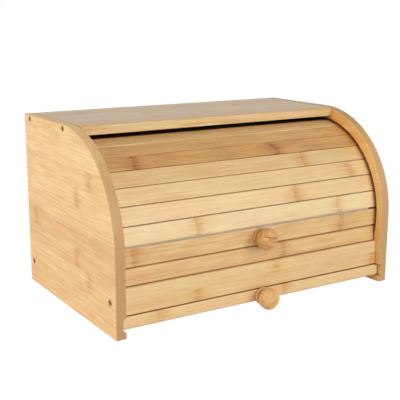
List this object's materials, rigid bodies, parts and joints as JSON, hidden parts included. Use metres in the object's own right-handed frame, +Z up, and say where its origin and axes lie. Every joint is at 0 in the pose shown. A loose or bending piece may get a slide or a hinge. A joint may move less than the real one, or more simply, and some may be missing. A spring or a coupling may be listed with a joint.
{
  "type": "bread box",
  "caption": "Bamboo bread box with a slatted roll-up front between two round-nosed side panels, and a shallow crumb drawer that slides out under the slotted floor.",
  "frame": {"origin": "on the table, centred under the whole object, the drawer knob counted in the depth", "axes": "+X to the right along the width, -Y out of the front where the tambour and drawer open, +Z up"},
  "size_m": [0.37, 0.251, 0.205],
  "materials": {
    "honey_bamboo": "satin lacquered bamboo, caramelised honey tone",
    "pale_bamboo": "satin lacquered bamboo, natural pale tone",
    "amber_bamboo": "satin lacquered bamboo, darker strips",
    "scorched_bamboo": "dark brown steamed bamboo, satin",
    "turned_bamboo": "turned and lacquered",
    "beech_dowel": "raw fluted dowel wood",
    "cotton_canvas": "plain-woven cotton glued to the slats",
    "zinc_steel": "zinc-plated, dulled"
  },
  "bodies": {
    "case": {"side_panel_left": "honey_bamboo", "side_panel_right": "honey_bamboo", "top_board": "pale_bamboo", "back_board": "honey_bamboo", "floor_board": "pale_bamboo", "front_rail": "honey_bamboo", "case_dowels": "beech_dowel", "case_screws_left": "zinc_steel", "case_screws_right": "zinc_steel"},
    "tambour": {"slat_01": "honey_bamboo", "slat_02": "honey_bamboo", "slat_03": "pale_bamboo", "slat_04": "honey_bamboo", "slat_05": "honey_bamboo", "slat_06": "honey_bamboo", "slat_07": "amber_bamboo", "slat_08": "amber_bamboo", "slat_09": "amber_bamboo", "slat_10": "scorched_bamboo", "slat_11": "scorched_bamboo", "canvas_backing": "cotton_canvas", "tambour_knob": "turned_bamboo", "tambour_knob_screw": "zinc_steel"},
    "drawer": {"drawer_front": "pale_bamboo", "drawer_side_left": "honey_bamboo", "drawer_side_right": "honey_bamboo", "drawer_back": "honey_bamboo", "drawer_bottom": "pale_bamboo", "drawer_dowels": "beech_dowel", "drawer_brads": "zinc_steel", "drawer_knob": "turned_bamboo", "drawer_knob_screw": "zinc_steel"}
  },
  "joints": [
    {"name": "tambour_roll", "type": "hinge", "parent": "case", "child": "tambour", "pos_m": [0, 0.0095, 0.0815], "axis": [-1, 0, 0], "range_deg": [0, 74]},
    {"name": "drawer_slide", "type": "slide", "parent": "case", "child": "drawer", "axis": [0, -1, 0], "range_m": [0, 0.17]}
  ]
}
